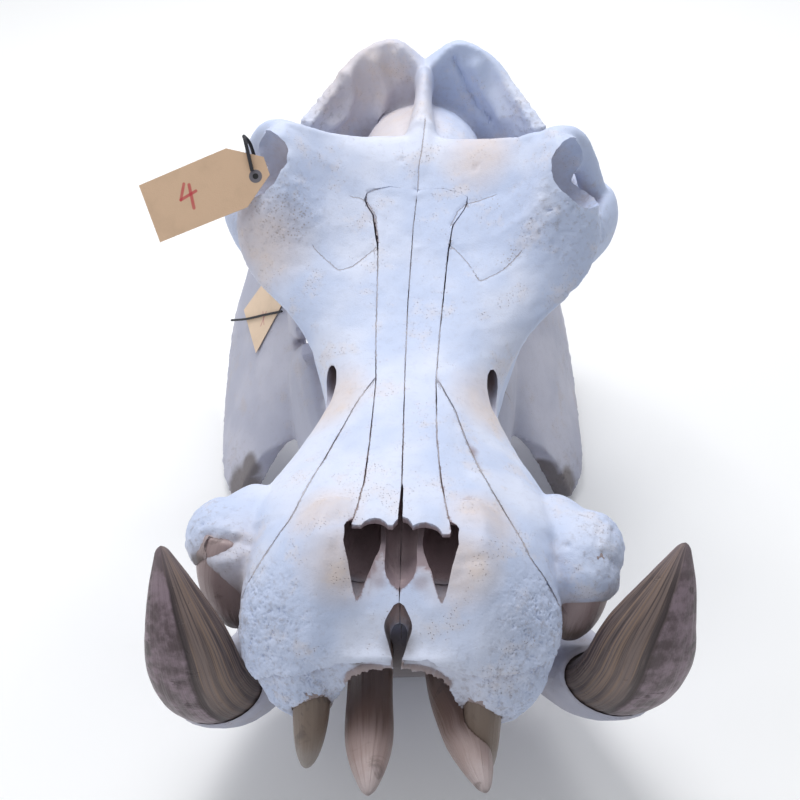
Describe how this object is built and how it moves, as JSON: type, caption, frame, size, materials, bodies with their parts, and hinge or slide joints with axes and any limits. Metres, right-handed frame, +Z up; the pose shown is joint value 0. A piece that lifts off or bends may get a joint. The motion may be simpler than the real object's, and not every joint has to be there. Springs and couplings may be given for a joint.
{
  "type": "hippopotamus skull",
  "caption": "Life-size hippopotamus skull with its lower jaw closed, curved tusks, and two paper tags on strings.",
  "frame": {"origin": "on the floor, under the middle of the skull's bounding box, tags left out", "axes": "+Z up, +Y from the front teeth back to the neck, +X towards the animal's left"},
  "size_m": [0.528, 0.779, 0.4581],
  "materials": {
    "cranium": "dry bleached bone, slightly porous",
    "nasal_left": "dry bleached bone",
    "nasal_right": "dry bleached bone",
    "premaxilla_left": "dry bleached bone, rough at the front",
    "premaxilla_right": "dry bleached bone, rough at the front",
    "mandible": "dry bleached bone, greyer",
    "lower_tusk_left": "ridged ivory, stained brown",
    "lower_tusk_right": "ridged ivory, stained brown",
    "lower_incisor_left": "smooth ivory, stained near the root",
    "lower_incisor_right": "smooth ivory, stained near the root",
    "side_incisor_left": "smooth ivory",
    "side_incisor_right": "smooth ivory",
    "upper_incisor_left": "smooth ivory with a pale tip",
    "upper_incisor_right": "smooth ivory with a pale tip",
    "upper_canine_left": "smooth ivory",
    "upper_canine_right": "smooth ivory",
    "tag_1": "buff card",
    "tag_2": "cream card",
    "tag_1_string": "black cord",
    "tag_2_string": "dark thin cord"
  },
  "bodies": {
    "root": {"cranium": "cranium", "nasal_left": "nasal_left", "nasal_right": "nasal_right", "premaxilla_left": "premaxilla_left", "premaxilla_right": "premaxilla_right", "mandible": "mandible", "lower_tusk_left": "lower_tusk_left", "lower_tusk_right": "lower_tusk_right", "lower_incisor_left": "lower_incisor_left", "lower_incisor_right": "lower_incisor_right", "side_incisor_left": "side_incisor_left", "side_incisor_right": "side_incisor_right", "upper_incisor_left": "upper_incisor_left", "upper_incisor_right": "upper_incisor_right", "upper_canine_left": "upper_canine_left", "upper_canine_right": "upper_canine_right", "tag_1": "tag_1", "tag_2": "tag_2", "tag_1_string": "tag_1_string", "tag_2_string": "tag_2_string"}
  },
  "joints": []
}
